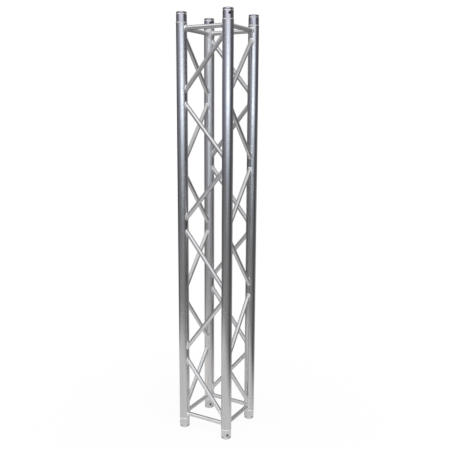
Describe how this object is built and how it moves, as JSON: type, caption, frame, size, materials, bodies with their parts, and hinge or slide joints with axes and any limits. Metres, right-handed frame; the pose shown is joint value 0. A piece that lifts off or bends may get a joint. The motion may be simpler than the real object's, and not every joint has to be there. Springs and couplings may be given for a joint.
{
  "type": "lighting truss section",
  "caption": "Square box truss section of welded aluminium tube, with conical coupling receivers and cross pin holes at its chord ends, for hanging stage lights.",
  "frame": {"origin": "on the truss's middle line, in the plane of the four bottom receivers' end faces, as it stands on end", "axes": "+Z along the truss from its bottom end to its top end; +X and +Y square to its faces, with the front face towards -Y"},
  "size_m": [0.2914, 0.2914, 2],
  "materials": {
    "chord_tube": "mill finish, extruded tube",
    "brace_tube": "mill finish, drawn tube",
    "machined_receiver": "turned, fine rings",
    "weld_bead": "as-welded ripple, bright"
  },
  "bodies": {
    "root": {"brace_back_1": "brace_tube", "brace_back_2": "brace_tube", "brace_back_3": "brace_tube", "brace_back_4": "brace_tube", "brace_back_5": "brace_tube", "brace_back_6": "brace_tube", "brace_front_1": "brace_tube", "brace_front_2": "brace_tube", "brace_front_3": "brace_tube", "brace_front_4": "brace_tube", "brace_front_5": "brace_tube", "brace_front_6": "brace_tube", "brace_left_1": "brace_tube", "brace_left_2": "brace_tube", "brace_left_3": "brace_tube", "brace_left_4": "brace_tube", "brace_left_5": "brace_tube", "brace_left_6": "brace_tube", "brace_right_1": "brace_tube", "brace_right_2": "brace_tube", "brace_right_3": "brace_tube", "brace_right_4": "brace_tube", "brace_right_5": "brace_tube", "brace_right_6": "brace_tube", "brace_welds_back": "weld_bead", "brace_welds_front": "weld_bead", "brace_welds_left": "weld_bead", "brace_welds_right": "weld_bead", "chord_back_left": "chord_tube", "chord_back_right": "chord_tube", "chord_front_left": "chord_tube", "chord_front_right": "chord_tube", "end_brace_back_bottom": "brace_tube", "end_brace_back_top": "brace_tube", "end_brace_front_bottom": "brace_tube", "end_brace_front_top": "brace_tube", "end_brace_left_bottom": "brace_tube", "end_brace_left_top": "brace_tube", "end_brace_right_bottom": "brace_tube", "end_brace_right_top": "brace_tube", "receiver_bottom_back_left": "machined_receiver", "receiver_bottom_back_right": "machined_receiver", "receiver_bottom_front_left": "machined_receiver", "receiver_bottom_front_right": "machined_receiver", "receiver_top_back_left": "machined_receiver", "receiver_top_back_right": "machined_receiver", "receiver_top_front_left": "machined_receiver", "receiver_top_front_right": "machined_receiver", "ring_weld_bottom_back_left": "weld_bead", "ring_weld_bottom_back_right": "weld_bead", "ring_weld_bottom_front_left": "weld_bead", "ring_weld_bottom_front_right": "weld_bead", "ring_weld_top_back_left": "weld_bead", "ring_weld_top_back_right": "weld_bead", "ring_weld_top_front_left": "weld_bead", "ring_weld_top_front_right": "weld_bead"}
  },
  "joints": []
}
